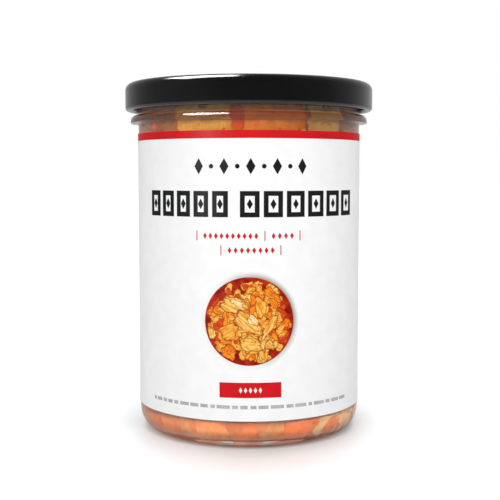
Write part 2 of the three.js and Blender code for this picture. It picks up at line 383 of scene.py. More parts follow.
def make_handling():
    """Faint smudges and fine pitting, as a roughness and a height."""
    group, sockets, end = new_group(
        "handling",
        {"Roughness": 0.3, "Smudge": 0.08, "Smudge Scale": 60.0, "Grain Scale": 1500.0},
        {"Roughness": "Float", "Height": "Float"})
    place = object_place(group)
    smudge = clouds(group, place, sockets["Smudge Scale"], 3.0, 1.2)
    spread = sum_of(group, "MULTIPLY", sum_of(group, "SUBTRACT", smudge, 0.5), sockets["Smudge"])
    fill(group, end, Roughness=sum_of(group, "ADD", spread, sockets["Roughness"]),
         Height=clouds(group, place, sockets["Grain Scale"], 2.0))
    return group


def make_flesh():
    """Vegetable flesh: a piece's own colour with fibres, blotches, a rim darkened by chilli stain and
    painted shade, and specks.
    """
    group, sockets, end = new_group(
        "vegetable_flesh",
        {"Deep": (0.9, 0.6, 0.4, 1), "Stain": (0.5, 0.1, 0, 1),
         "Speck Colour": (0.45, 0.03, 0.01, 1), "Blotch Scale": 300.0,
         "Fibre": 0.8, "Edge": 0.8, "Speck": 0.14},
        {"Colour": "Color", "Height": "Float"})
    place = object_place(group)
    own, rim, grainwise = (
        add(group, "Attribute", {"attribute_name": name}).outputs[kind]
        for name, kind in (("flesh", "Color"), ("rim", "Fac"), ("grainwise", "Vector")))
    fibres = clouds(group, grainwise, 1.0, 3.0, 0.4)
    blotches = clouds(group, place, sockets["Blotch Scale"], 4.0)
    streak = sum_of(group, "SUBTRACT", fibres, 0.5)
    streaked = sum_of(group, "MULTIPLY_ADD", streak, sockets["Fibre"], blotches)
    deep = blend(group, stretched(group, streaked, 0.32, 0.72), own, sockets["Deep"], "MULTIPLY")
    # Towards a piece's rim the stain colour comes in: partly chilli stain, partly painted shade where the
    # piece falls back from the glass
    uneven = sum_of(group, "MULTIPLY", stretched(group, rim, 0.0, 0.4, 1.0, 0.0), blotches)
    amount = sum_of(group, "MULTIPLY", uneven, sockets["Edge"], clamp=True)
    stain_and_painted_shade = blend(group, amount, deep, sockets["Stain"])
    cells = add(group, "TexVoronoi", Vector=place, Scale=620.0, Randomness=1.0)
    near = sum_of(group, "SUBTRACT", sockets["Speck"], cells.outputs["Distance"])
    speck = stretched(group, near, 0.0, 0.05)
    fill(group, end, Colour=blend(group, speck, stain_and_painted_shade, sockets["Speck Colour"]), Height=fibres)
    return group


MOTTLE = make_mottle()
HANDLING = make_handling()
FLESH = make_flesh()

CLEAR_IOR = 1.5
RIPPLE_DEPTH = 0.05
PAPER_SHINE = {"IOR": 1.45, "Specular_IOR_Level": 0.035}
WET_FOOD = {"IOR": 1.4, "Specular_IOR_Level": 0.1, "Roughness": 0.3, "Subsurface_Scale": 0.0012}


def clear_liquid_or_glass(name, colour, ripple_scale):
    """A clear body. Light on its way to what is inside passes straight through."""
    material, tree, shader = surface(
        name, Base_Color=(*colour, 1), Roughness=0.0, IOR=CLEAR_IOR, Transmission_Weight=1.0)
    bump(tree, shader, clouds(tree, object_place(tree), ripple_scale, 1.0), RIPPLE_DEPTH)
    passing = add(tree, "BsdfTransparent", Color=(*colour, 1))
    light_path = add(tree, "LightPath")
    mix = add(tree, "MixShader", Fac=light_path.outputs["Is Shadow Ray"],
              i1=shader.outputs["BSDF"], i2=passing.outputs["BSDF"])
    fill(tree, tree.nodes["Material Output"], Surface=mix.outputs["Shader"])
    return material


def make_coat(name, colours, patches, roughness, smudges, grain, relief, **shine):
    """A coated sheet: soft patches of two colours, with the smudges and relief of handling."""
    material, tree, shader = surface(name, **shine)
    tint = use_group(tree, MOTTLE, Colour_A=(*colours[0], 1), Colour_B=(*colours[1], 1), **patches)
    handling = use_group(tree, HANDLING, Roughness=roughness, Smudge=0.08, Smudge_Scale=smudges,
                         Grain_Scale=grain)
    fill(tree, shader, Base_Color=tint.outputs["Colour"], Roughness=handling.outputs["Roughness"])
    bump(tree, shader, handling.outputs["Height"], relief)
    return material


def make_lacquer():
    """Black lacquer on tinplate, with faint smudges and a fine orange-peel."""
    blacks = ((0.0045, 0.0045, 0.0048), (0.0075, 0.0075, 0.0078))
    patches = {"Scale": 45.0}
    return make_coat("black_lid_lacquer", blacks, patches, 0.13, 70.0, 900.0, 0.006, IOR=1.55)


def make_paper(name, colour, shade, roughness):
    """Coated label paper or a flat of ink on it."""
    patches = {"Scale": 220.0, "Detail": 6.0}
    return make_coat(name, (colour, shade), patches, roughness, 90.0, 2600.0, 0.004, **PAPER_SHINE)


def make_food(name, deep, stain, fibre, edge, speck):
    """Wet pickled vegetable."""
    material, tree, shader = surface(
        name, Subsurface_Weight=0.35, Subsurface_Radius=(1.0, 0.55, 0.3), **WET_FOOD)
    flesh = use_group(tree, FLESH, Deep=(*deep, 1), Stain=(*stain, 1), Fibre=fibre, Edge=edge, Speck=speck)
    fill(tree, shader, Base_Color=flesh.outputs["Colour"])
    bump(tree, shader, flesh.outputs["Height"], 0.15)
    return material


def make_sauce():
    """The mass of seasoning and small shreds behind the pieces."""
    material, tree, shader = surface(
        "chilli_paste", Subsurface_Weight=0.3, Subsurface_Radius=(1.0, 0.5, 0.3), **WET_FOOD)
    broad = use_group(tree, MOTTLE, Colour_A=(0.66, 0.22, 0.05, 1), Colour_B=(0.82, 0.42, 0.14, 1),
                      Scale=220.0)
    fine = use_group(tree, MOTTLE, Colour_A=(0.46, 0.07, 0.02, 1), Colour_B=broad.outputs["Colour"],
                     Scale=900.0, Low=0.42, High=0.5)
    fill(tree, shader, Base_Color=fine.outputs["Colour"])
    bump(tree, shader, fine.outputs["Mask"], 0.12)
    return material


# The glass jar

def make_glass():
    """The jar: foot, heel, straight wall, bead and neck outside, then down the inside."""
    rim = RIM_HEIGHT - RIM_ROUNDING
    profile = dome(FOOT_RADIUS - FOOT_WIDTH, 0)
    profile += arc((FOOT_RADIUS, HEEL[1]), HEEL, -90, 0, 14)
    profile += [(BODY_RADIUS, STRAIGHT_BOTTOM), (BODY_RADIUS, STRAIGHT_TOP)]
    profile += rounding(BODY_RADIUS + UNDER_BEAD_FILLET, BEAD_BOTTOM - UNDER_BEAD_FILLET,
                        UNDER_BEAD_FILLET, 180, 90, 4)
    profile += rounding(BEAD_RADIUS - BEAD_CORNER, BEAD_BOTTOM + BEAD_CORNER, BEAD_CORNER, -90, 0, 6)
    profile += arc((BEAD_RADIUS - BEAD_ROUNDING[0], BEAD_FACE_TOP), BEAD_ROUNDING, 0, 80, 14)
    profile += rounding(NECK_RADIUS + OVER_BEAD_FILLET, BEAD_TOP + OVER_BEAD_FILLET,
                        OVER_BEAD_FILLET, 260, 180, 4)
    profile += rounding(NECK_RADIUS - RIM_ROUNDING, rim, RIM_ROUNDING, 0, 90, 6)
    profile += rounding(INNER_RADIUS + RIM_ROUNDING, rim, RIM_ROUNDING, 90, 180, 6)
    profile += [(INNER_RADIUS, STRAIGHT_TOP), (INNER_RADIUS, INNER_STRAIGHT_BOTTOM)]
    profile += arc((INNER_HEEL_RADIUS, INNER_HEEL_TOP), INNER_HEEL, 0, -90, 12)
    profile += dome(INNER_HEEL_RADIUS, BASE_THICKNESS)[-2::-1]
    glass = clear_liquid_or_glass("clear_jar_glass", (0.985, 0.995, 0.99), 60.0)
    new_piece(spun(profile), "jar_glass", glass, ["glass_jar"])


# The lid

def make_lid():
    """The lid's sheet, from its underside out to the curl and back over its top."""
    panel = LID_TOP - PANEL_DEPTH
    button = panel + BUTTON_RISE
    panel_edge = PANEL_RADIUS + PANEL_SLOPE
    button_edge = BUTTON_RADIUS + BUTTON_SLOPE
    edge = (LID_RADIUS - LID_ROUNDING, LID_TOP - LID_ROUNDING)
    slope_room = 0.2
    profile = [(0, button - LID_SHEET), (BUTTON_RADIUS, button - LID_SHEET)]
    profile += [(button_edge, panel - LID_SHEET), (PANEL_RADIUS, panel - LID_SHEET)]
    profile += [(panel_edge, LID_TOP - LID_SHEET)]
    profile += [(SEAL_INNER, SEAL_HEIGHT), (SEAL_OUTER, SEAL_HEIGHT)]
    profile += rounding(*edge, LID_ROUNDING - LID_SHEET, 90, 0, 6)
    profile += [(LID_RADIUS - LID_SHEET, LID_BOTTOM + 3.2)]
    profile += rounding(LID_RADIUS - CURL_RADIUS, LID_BOTTOM + CURL_RADIUS, CURL_RADIUS, 150, 360, 20)
    profile += [(LID_RADIUS, LID_BOTTOM + 2.0), (LID_RADIUS, edge[1] - 0.4)]
    profile += rounding(*edge, LID_ROUNDING, 0, 90, 12)
    profile += rounding(panel_edge + slope_room, LID_TOP - PANEL_FILLET, PANEL_FILLET, 90, 140, 4)
    profile += rounding(PANEL_RADIUS - slope_room, panel + PANEL_FILLET, PANEL_FILLET, 320, 270, 4)
    profile += rounding(button_edge, panel + BUTTON_FILLET, BUTTON_FILLET, 270, 225, 3)
    profile += rounding(BUTTON_RADIUS, button - BUTTON_FILLET, BUTTON_FILLET, 45, 90, 3)
    profile += [(BUTTON_RADIUS - 1.5, button), (0, button)]
    bm = spun(profile)
    add_lugs(bm)
    new_piece(bm, "lid_shell", make_lacquer(), ["twist_lid"])


def add_lugs(bm):
    """The four short flats that the curl is pressed into, which grip the neck."""
    low, high = LID_BOTTOM + 0.15, LID_BOTTOM + 1.2
    inner, outer = LID_RADIUS - 3.8, LID_RADIUS - 1.4
    nose, slant = inner + 0.4, 0.25
    corners = [(inner, low + slant), (inner, high - slant), (nose, high), (outer, high),
               (outer, low), (nose, low)]
    for i in range(LUG_COUNT):
        start = Matrix.Rotation(math.radians(45 + 90 * i) - LUG_ARC / 2, 4, "Z")
        verts = [bm.verts.new(start @ Vector((radius, 0, height))) for radius, height in corners]
        bmesh.ops.spin(bm, geom=[bm.faces.new(verts)], cent=(0, 0, 0), axis=(0, 0, 1),
                       angle=LUG_ARC, steps=6, use_duplicate=False)
    turn_out(bm)


# The label and its print

def make_label():
    """One paper strip round the jar, whose end laps over its start at the back."""
    start, end = -math.pi, math.pi + LAP
    middle = (start + end) / 2 * PAPER_RADIUS
    width = (end - start) * PAPER_RADIUS
    height = LABEL_TOP - LABEL_BOTTOM
    bm = bmesh.new()
    bmesh.ops.create_grid(bm, x_segments=PAPER_COLUMNS, y_segments=2, size=0.5)
    for vert in bm.verts:
        vert.co = (vert.co.x * width + middle, 0, (vert.co.y + 0.5) * height + LABEL_BOTTOM)
    lift_lap(bm)
    turn_out(bm)
    face_front(bm)
    bmesh.ops.solidify(bm, geom=bm.faces[:], thickness=PAPER_THICKNESS)
    paper = make_paper("label_paper", (0.93, 0.93, 0.93), (0.90, 0.90, 0.905), 0.42)
    lay_round(bm, "label_sheet", paper, 0, ["wrap_label"])


def face_front(bm):
    """Turn a flat sheet to the front, so that its thickness goes back towards the glass."""
    for face in bm.faces:
        face.normal_update()
        if face.normal.y > 0:
            face.normal_flip()


def lay_round(bm, name, material, level, nodes=()):
    """Bend a flat closed layer of paper or ink round the jar, and make it an object."""
    wrap(bm, PAPER_RADIUS + INK_LAYER * level)
    turn_out(bm)
    new_piece(bm, name, material, nodes, sharp=30)


def upright(along, up, width, height):
    """The place on the flat label of a shape of print, from its middle and its size."""
    size = Matrix.Diagonal((width, height, 1, 1))
    return Matrix.Translation((along, 0, up)) @ Matrix.Rotation(math.radians(90), 4, "X") @ size


def add_bar(bm, left, right, low, high):
    """A flat rectangle of print, from its edges along and up the label."""
    columns = max(1, math.ceil((right - left) / STRIP_WIDTH))
    place = upright((left + right) / 2, (low + high) / 2, right - left, high - low)
    bmesh.ops.create_grid(bm, x_segments=columns, y_segments=1, size=0.5, matrix=place)


def add_lozenge(bm, along, up, half_width, half_height, sides=4):
    """A flat lozenge or round dot of print."""
    place = upright(along, up, half_width, half_height)
    bmesh.ops.create_circle(bm, cap_ends=True, segments=sides, radius=1, matrix=place)


def print_layer(bm, name, material, level):
    """Bend flat print round the label, as a thin closed layer of ink."""
    face_front(bm)
    sliced(bm)
    bmesh.ops.solidify(bm, geom=bm.faces[:], thickness=INK_LAYER)
    lift_lap(bm)
    lay_round(bm, name, material, level)


# Places of the print: along the paper from the middle of the front, and up from the jar's foot
RED_BOX = {"left": -9.5, "right": 10.6, "low": 16.95, "high": 21.9}
TICK_HALF_WIDTH = 0.17
TICK_ROWS = ((67.35, 70.5, (-17.1, 5.15, 16.9)), (62.7, 65.85, (-8.9, 10.35)))
RED_ROWS = ((68.85, -15.2, 3.3), (68.85, 6.9, 15.1), (64.3, -7.1, 8.6))
RED_LOZENGE = (0.62, 1.05)
RED_LOZENGE_STEP = 1.9
BLOCK_GROUPS = ((-37.9, -6.6, 5), (-2.8, 41.2, 6))
BLOCK_LOW, BLOCK_HIGH = 74.8, 83.1
BLOCK_STROKE = 1.55
BLOCK_GAP = 1.3
BLOCK_LOZENGE = (0.95, 1.7)
ORNAMENT_COUNT = 9
ORNAMENT_START, ORNAMENT_STEP, ORNAMENT_HEIGHT = -16.4, 4.26, 90.9
ORNAMENT_LOZENGE = (1.5, 2.6)
ORNAMENT_DOT = (0.75, 0.75, 16)
WHITE_LOZENGE = (0.55, 0.95)
WHITE_COUNT = 5
WHITE_START, WHITE_STEP, WHITE_HEIGHT = -2.6, 1.58, 19.4
DASH_START, DASH_END = -36.8, 38.0
DASH_LOW, DASH_HIGH = 13.35, 14.45
DASH_LENGTHS, DASH_GAPS = (1.2, 4.6), (0.6, 0.9)


def make_red_print():
    """The red ring along the top, the small marks and the red box."""
    half_round = math.pi * PAPER_RADIUS
    bm = bmesh.new()
    add_bar(bm, -half_round, half_round + LAP * PAPER_RADIUS, RED_BAND_BOTTOM, LABEL_TOP)
    add_bar(bm, **RED_BOX)
    for low, high, ticks in TICK_ROWS:
        for tick in ticks:
            add_bar(bm, tick - TICK_HALF_WIDTH, tick + TICK_HALF_WIDTH, low, high)
    for row, start, end in RED_ROWS:
        count = round((end - start) / RED_LOZENGE_STEP)
        for i in range(count):
            add_lozenge(bm, start + (end - start) * (i + 0.5) / count, row, *RED_LOZENGE)
    red = make_paper("label_red_ink", (0.66, 0.012, 0.018), (0.60, 0.010, 0.015), 0.38)
    print_layer(bm, "label_red_print", red, 1)


def make_black_print():
    """A plain ornament in two groups of blocks and a row of lozenges above it."""
    bm = bmesh.new()
    low, high, stroke = BLOCK_LOW, BLOCK_HIGH, BLOCK_STROKE
    for start, end, count in BLOCK_GROUPS:
        width = (end - start + BLOCK_GAP) / count
        for i in range(count):
            left = start + i * width
            right = left + width - BLOCK_GAP
            add_bar(bm, left, right, high - stroke, high)
            add_bar(bm, left, right, low, low + stroke)
            add_bar(bm, left, left + stroke, low + stroke, high - stroke)
            add_bar(bm, right - stroke, right, low + stroke, high - stroke)
            add_lozenge(bm, (left + right) / 2, (low + high) / 2, *BLOCK_LOZENGE)
    for i in range(ORNAMENT_COUNT):
        shape = ORNAMENT_DOT if i % 2 else ORNAMENT_LOZENGE
        add_lozenge(bm, ORNAMENT_START + ORNAMENT_STEP * i, ORNAMENT_HEIGHT, *shape)
    black = make_paper("label_black_ink", (0.012, 0.012, 0.012), (0.016, 0.016, 0.016), 0.36)
    print_layer(bm, "label_black_print", black, 1)


def make_pale_print():
    """White marks in the red box, and the faint grey dashes under it."""
    bm = bmesh.new()
    for i in range(WHITE_COUNT):
        add_lozenge(bm, WHITE_START + WHITE_STEP * i, WHITE_HEIGHT, *WHITE_LOZENGE)
    white = make_paper("label_white_ink", (0.92, 0.92, 0.92), (0.88, 0.88, 0.88), 0.4)
    print_layer(bm, "label_white_print", white, 2)
    rng = random.Random(31)
    bm = bmesh.new()
    along = DASH_START
    while along < DASH_END:
        length = rng.uniform(*DASH_LENGTHS)
        add_bar(bm, along, along + length, DASH_LOW, DASH_HIGH)
        along += length + rng.uniform(*DASH_GAPS)
    grey = make_paper("label_grey_ink", (0.40, 0.40, 0.40), (0.50, 0.50, 0.50), 0.4)
    print_layer(bm, "label_grey_print", grey, 1)


# The picture of a bowl, a plain round of leaf shapes

BOWL_CENTRE = Vector((0.16, 0, 41.6))
BOWL_RADIUS = 16.4
BOWL_FOOD_RADIUS = 14.4
BOWL_SIDES = 64
BOWL_SHADES = [(0.0, (0.93, 0.93, 0.93)), (0.4, (0.72, 0.71, 0.68)), (1.0, (0.34, 0.31, 0.26))]
PRINT_LEAF_COUNT = 130
PRINT_LEAF_STEP = 0.001
PRINT_LEAF_INSETS = (0.22, 0.3, 0.25)
PRINT_AMBER = (0.90, 0.30, 0.03)
PRINT_GOLD = (0.92, 0.52, 0.09)
PRINT_STRAW = (0.90, 0.62, 0.16)
PRINT_PALE = (0.93, 0.78, 0.42)
PRINT_RUST = (0.70, 0.09, 0.02)
PRINT_COLOURS = (PRINT_AMBER, PRINT_AMBER, PRINT_GOLD, PRINT_GOLD, PRINT_GOLD,
                 PRINT_STRAW, PRINT_STRAW, PRINT_RUST)
# Leaves on top, from the bowl's middle: along, up, length, width, heading, colour
PRINT_TOP_LEAVES = [
    (-5.0, 5.4, 4.4, 2.6, 20, PRINT_STRAW), (3.6, 4.6, 3.4, 1.9, 70, PRINT_GOLD),
    (6.6, -1.6, 4.2, 1.4, 120, PRINT_STRAW), (-6.4, -3.2, 3.6, 2.3, 150, PRINT_GOLD),
    (0.6, -7.4, 4.0, 2.2, 10, PRINT_STRAW), (-0.4, -0.6, 4.6, 3.0, 40, PRINT_STRAW),
    (-3.8, 5.9, 2.0, 1.1, 20, PRINT_PALE), (1.2, 0.4, 2.4, 1.3, 40, PRINT_PALE),
    (7.8, 5.8, 2.4, 1.0, 60, PRINT_AMBER),
]


def bowl_disc(half_width, half_height):
    """A flat round of print about the bowl's middle."""
    bm = bmesh.new()
    add_lozenge(bm, BOWL_CENTRE.x, BOWL_CENTRE.z, half_width, half_height, BOWL_SIDES)
    return bm


def make_bowl_rim():
    """The bowl's pale rim, shaded towards the food and on its right."""
    material, tree, shader = surface("print_bowl_rim", Roughness=0.42, **PAPER_SHINE)
    middle = (BOWL_CENTRE.x * METRE, -PAPER_RADIUS * METRE, BOWL_CENTRE.z * METRE)
    from_middle = vector_sum(tree, "SUBTRACT", object_place(tree), middle)
    flat = vector_sum(tree, "MULTIPLY", from_middle, (1.02, 0, 1))
    out = vector_sum(tree, "LENGTH", flat)
    fade = stretched(tree, out, BOWL_FOOD_RADIUS * METRE, (BOWL_RADIUS - 0.2) * METRE, 1.0, 0.0)
    side = vector_sum(tree, "DOT_PRODUCT", flat, (0.9, 0.0, 0.45))
    lean = stretched(tree, side, -0.006, 0.014, 0.12)
    colour = ramp(tree, sum_of(tree, "MULTIPLY", fade, lean), BOWL_SHADES)
    grain = use_group(tree, MOTTLE, Colour_B=(0.97, 0.96, 0.95, 1), Scale=300.0)
    fill(tree, shader, Base_Color=blend(tree, 1.0, colour, grain.outputs["Colour"], "MULTIPLY"))
    print_layer(bowl_disc(BOWL_RADIUS, BOWL_RADIUS), "print_bowl", material, 1)


def make_bowl_sauce():
    """The red sauce in the bowl, under the leaves."""
    material, tree, shader = surface("print_sauce", Roughness=0.4, **PAPER_SHINE)
    broad = use_group(tree, MOTTLE, Colour_A=(0.20, 0.005, 0.003, 1),
                      Colour_B=(0.52, 0.03, 0.008, 1), Scale=420.0)
    fill(tree, shader, Base_Color=broad.outputs["Colour"])
    disc = bowl_disc(BOWL_FOOD_RADIUS + 0.1, BOWL_FOOD_RADIUS - 0.2)
    print_layer(disc, "print_bowl_sauce", material, 2)


def add_print_leaf(bm, layers, rng, centre, length, width, heading, colour, level):
    """One flat leaf shape with a wavy outline, kept inside the bowl."""
    made = bmesh.ops.create_circle(bm, cap_ends=True, segments=26, radius=1)
    face = made["verts"][0].link_faces[0]
    verts = set(made["verts"])
    for inset in PRINT_LEAF_INSETS:
        ring = bmesh.ops.inset_region(bm, faces=[face], thickness=inset, use_boundary=True)
        verts |= {vert for band in ring["faces"] for vert in band.verts}
    phases = [rng.uniform(0, FULL_TURN) for _ in range(3)]
    seed = rng.uniform(0, 50)
    for vert in verts:
        radius, angle = vert.co.length, math.atan2(vert.co.y, vert.co.x)
        wavy = 1 + 0.16 * math.sin(2 * angle + phases[0]) + 0.12 * math.sin(3 * angle + phases[1])
        wavy += 0.10 * math.sin(5 * angle + phases[2]) + 0.06 * math.sin(9 * angle + phases[0])
        along = length * radius * wavy * math.cos(angle)
        across = width * radius * wavy * math.sin(angle)
        vert[layers["flesh"]] = (*colour, 1)
        vert[layers["rim"]] = 2.2 * (1 - radius)
        vert[layers["grainwise"]] = Vector((along * 0.25 + seed, across * 1.8, level))
        turned = Matrix.Rotation(heading, 3, "Y") @ Vector((along, 0, across))
        offset = centre + turned - BOWL_CENTRE
        offset.length = min(offset.length, BOWL_FOOD_RADIUS - 0.5)
        vert.co = BOWL_CENTRE + offset + Vector((0, -PRINT_LEAF_STEP * level, 0))


def make_bowl_leaves():
    """Leaf shapes laid over each other in the bowl, each a little higher than the last."""
    rng = random.Random(7)
    leaves = bmesh.new()
    layers = flesh_layers(leaves)
    golden_angle = math.pi * (3 - math.sqrt(5))
    for i in range(PRINT_LEAF_COUNT):
        share = i / PRINT_LEAF_COUNT
        out = (BOWL_FOOD_RADIUS - 1.6) * math.sqrt(1 - share)
        turn = i * golden_angle + rng.uniform(-0.3, 0.3)
        length = rng.uniform(1.6, 3.2)
        width = length * rng.uniform(0.4, 0.75)
        heading, colour = rng.uniform(0, math.pi), rng.choice(PRINT_COLOURS)
        # Three patches of sauce stay bare near the rim
        if share < 0.35 and math.sin(3 * turn + 0.6) > 0.72:
            continue
        centre = BOWL_CENTRE + Vector((out * math.cos(turn), 0, out * math.sin(turn)))
        add_print_leaf(leaves, layers, rng, centre, length, width, heading, colour, i)
    for i, (x, z, length, width, heading, colour) in enumerate(PRINT_TOP_LEAVES):
        centre = BOWL_CENTRE + Vector((x, 0, z))
        add_print_leaf(leaves, layers, rng, centre, length, width, math.radians(heading), colour,
                       PRINT_LEAF_COUNT + 2 * i)
    face_front(leaves)
    bmesh.ops.solidify(leaves, geom=leaves.faces[:], thickness=INK_LAYER)
    material, tree, shader = surface("print_leaves", Roughness=0.4, **PAPER_SHINE)
    flesh = use_group(tree, FLESH, Deep=(0.85, 0.45, 0.2, 1), Stain=(0.24, 0.015, 0.004, 1),
                      Blotch_Scale=900.0, Fibre=2.2, Edge=2.0, Speck=0.16)
    fill(tree, shader, Base_Color=flesh.outputs["Colour"])
    lay_round(leaves, "print_bowl_leaves", material, 3)


# The kimchi

GOLD = (0.70, 0.43, 0.13)
ORANGE = (0.95, 0.33, 0.075)
PEACH = (0.87, 0.29, 0.125)
CREAM = (0.88, 0.40, 0.20)
PALE = (0.88, 0.67, 0.52)
OLIVE = (0.78, 0.54, 0.25)
# Brown and mauve are used only at the heap's top: partly the pieces' own colour, partly painted shade
# under the lid
BROWN_AND_SHADE = (0.36, 0.17, 0.10)
MAUVE_AND_SHADE = (0.36, 0.17, 0.13)
CHILLI_RED = (0.80, 0.13, 0.03)
# Painted shade: how the heap's colour darkens with height towards its top, behind the bead and in the neck
# under the lid
HEAP_PAINTED_SHADES = (
    (104.9, (1, 1, 1)), (105.5, (0.52, 0.42, 0.30)), (106.3, (0.44, 0.32, 0.20)),
    (107.2, (0.44, 0.32, 0.20)), (108.4, (0.56, 0.48, 0.38)), (109.4, (0.84, 0.80, 0.74)),
)
# Each kind's deep colour, stain, fibres, edge darkening (chilli stain and painted shade) and chilli specks
STEM_FLESH = ((0.95, 0.74, 0.52), (0.66, 0.22, 0.05), 1.3, 0.6, 0.10)
LEAF_FLESH = ((0.90, 0.68, 0.50), (0.50, 0.13, 0.03), 1.0, 0.5, 0.12)
CHILLI_FLESH = ((0.8, 0.5, 0.4), (0.30, 0.02, 0.0), 0.4, 0.5, 0.0)
HEEL_LENGTH = 9.2
FLOOR_MIDDLE = 3.0
TIGHTEST_BEND = 14.0


def flesh_layers(bm):
    """The vertex layers that the vegetable finish reads."""
    return {
        "flesh": bm.verts.layers.float_color.new("flesh"),
        "rim": bm.verts.layers.float.new("rim"),
        "grainwise": bm.verts.layers.float_vector.new("grainwise"),
    }


def inside_glass(height, gap):
    """Radius and height just inside the glass, down its wall and along its floor."""
    over = max(0.0, height - FILL_HEIGHT + gap)
    down = INNER_HEEL_TOP - height
    if down <= 0:
        return INNER_RADIUS - gap - over, height - over
    if down < HEEL_LENGTH:
        turn = math.pi / 2 * down / HEEL_LENGTH
        return (INNER_HEEL_RADIUS + (INNER_HEEL[0] - gap) * math.cos(turn),
                INNER_HEEL_TOP - (INNER_HEEL[1] - gap) * math.sin(turn))
    radius = max(FLOOR_MIDDLE, INNER_HEEL_RADIUS - (down - HEEL_LENGTH))
    return radius, BASE_THICKNESS + dome_rise(radius, INNER_HEEL_RADIUS) + gap


def hold_inside(place):
    """Draw a point back to the glass and below the fill height."""
    out = Vector((place.x, place.y, 0))
    radius, height = out.length, min(place.z, FILL_HEIGHT - INTO_WALL)
    limit = INNER_RADIUS - PRESSED_GAP
    if height < INNER_HEEL_TOP:
        down = min(0.99, (INNER_HEEL_TOP - height) / INNER_HEEL[1])
        limit = INNER_HEEL_RADIUS + (INNER_HEEL[0] - PRESSED_GAP) * math.sqrt(1 - down * down)
        floor = BASE_THICKNESS + dome_rise(min(radius, INNER_HEEL_RADIUS), INNER_HEEL_RADIUS)
        height = max(height, floor + PRESSED_GAP)
    if radius > limit:
        out *= limit / radius
    return Vector((out.x, out.y, height))


def with_painted_heap_shade(colour, height):
    """A piece's colour at a height, with painted shade towards the top of the heap."""
    shade = HEAP_PAINTED_SHADES[0][1]
    for (start, first), (end, second) in zip(HEAP_PAINTED_SHADES, HEAP_PAINTED_SHADES[1:]):
        if height > start:
            share = min(1.0, (height - start) / (end - start))
            shade = [a + share * (b - a) for a, b in zip(first, second)]
    return [own * tone for own, tone in zip(colour, shade)]


class Heap:
    """Many pieces of one kind in one mesh, with what their material reads."""

    def __init__(self, seed):
        self.bm = bmesh.new()
        self.layers = flesh_layers(self.bm)
        self.rng = random.Random(seed)
        self.count = 0

    def add(self, turn, height, size, lean, colour, thickness, wave, gap, grid=(14, 10)):
        """Add one wavy piece that is pressed against the glass, at an angle and a height."""
        rng = self.rng
        self.count += 1
        phase = [rng.uniform(0, FULL_TURN) for _ in range(5)]
        made = bmesh.ops.create_grid(self.bm, x_segments=grid[0], y_segments=grid[1], size=1)
        verts = made["verts"]
        cos, sin = math.cos(math.radians(lean)), math.sin(math.radians(lean))
        for vert in verts:
            u, v = vert.co.x, vert.co.y
            edge = max(abs(u), abs(v))
            # The outline narrows towards its ends and is ragged at its sides
            narrow = 1 - 0.2 * v * v + 0.22 * v * math.sin(phase[0])
            ragged = 0.10 * math.sin(5 * v + phase[1]) + 0.06 * math.sin(11 * v + phase[2])
            along = size[0] / 2 * u * narrow * (1 + ragged * abs(u))
            up = size[1] / 2 * v * (1 - 0.25 * u * u + 0.1 * math.sin(6 * u + phase[3]) * abs(v))
            # The face lies in soft waves and falls back from the glass at its rim
            wavy = 0.5 + 0.5 * math.sin(2.6 * u + phase[3]) * math.cos(2.2 * v + phase[4])
            depth = wave * wavy
            depth += 0.2 * wave * math.sin(9 * u + phase[1]) * math.sin(6 * v + phase[2])
            depth += 0.3 * max(0.0, edge - 0.75) / 0.25
            # The rim value darkens the piece's edge in its material: chilli stain and painted shade
            vert[self.layers["rim"]] = 1 - edge
            vert[self.layers["grainwise"]] = Vector((along * 1.6, up * 0.3, 3.7 * self.count))
            radius, z = inside_glass(height + along * sin + up * cos, gap + max(0.0, depth))
            angle = math.radians(turn) + (along * cos - up * sin) / max(radius, TIGHTEST_BEND)
            vert.co = Vector((radius * math.sin(angle), -radius * math.cos(angle), z))
            # The piece's colour carries painted shade towards the top of the heap
            vert[self.layers["flesh"]] = (*with_painted_heap_shade(colour, z), 1)
        faces = list({face for vert in verts for face in vert.link_faces})
        self.turn_outwards(faces, verts)
        bmesh.ops.solidify(self.bm, geom=faces, thickness=thickness)

    def turn_outwards(self, faces, verts):
        """Face a fresh sheet towards the glass, so that its thickness goes inwards."""
        bmesh.ops.recalc_face_normals(self.bm, faces=faces)
        for item in faces + verts:
            item.normal_update()
        middle = sum((face.calc_center_median() for face in faces), Vector()) / len(faces)
        normal = sum((face.normal for face in faces), Vector())
        if normal.dot(middle - Vector((0, 0, FILL_HEIGHT / 2))) < 0:
            bmesh.ops.reverse_faces(self.bm, faces=faces)
            for item in faces + verts:
                item.normal_update()

    def finish(self, name, material):
        """Hold every point inside the glass and make the heap an object."""
        for vert in self.bm.verts:
            vert.co = hold_inside(vert.co)
        turn_out(self.bm)
        new_piece(self.bm, name, material, sharp=60)


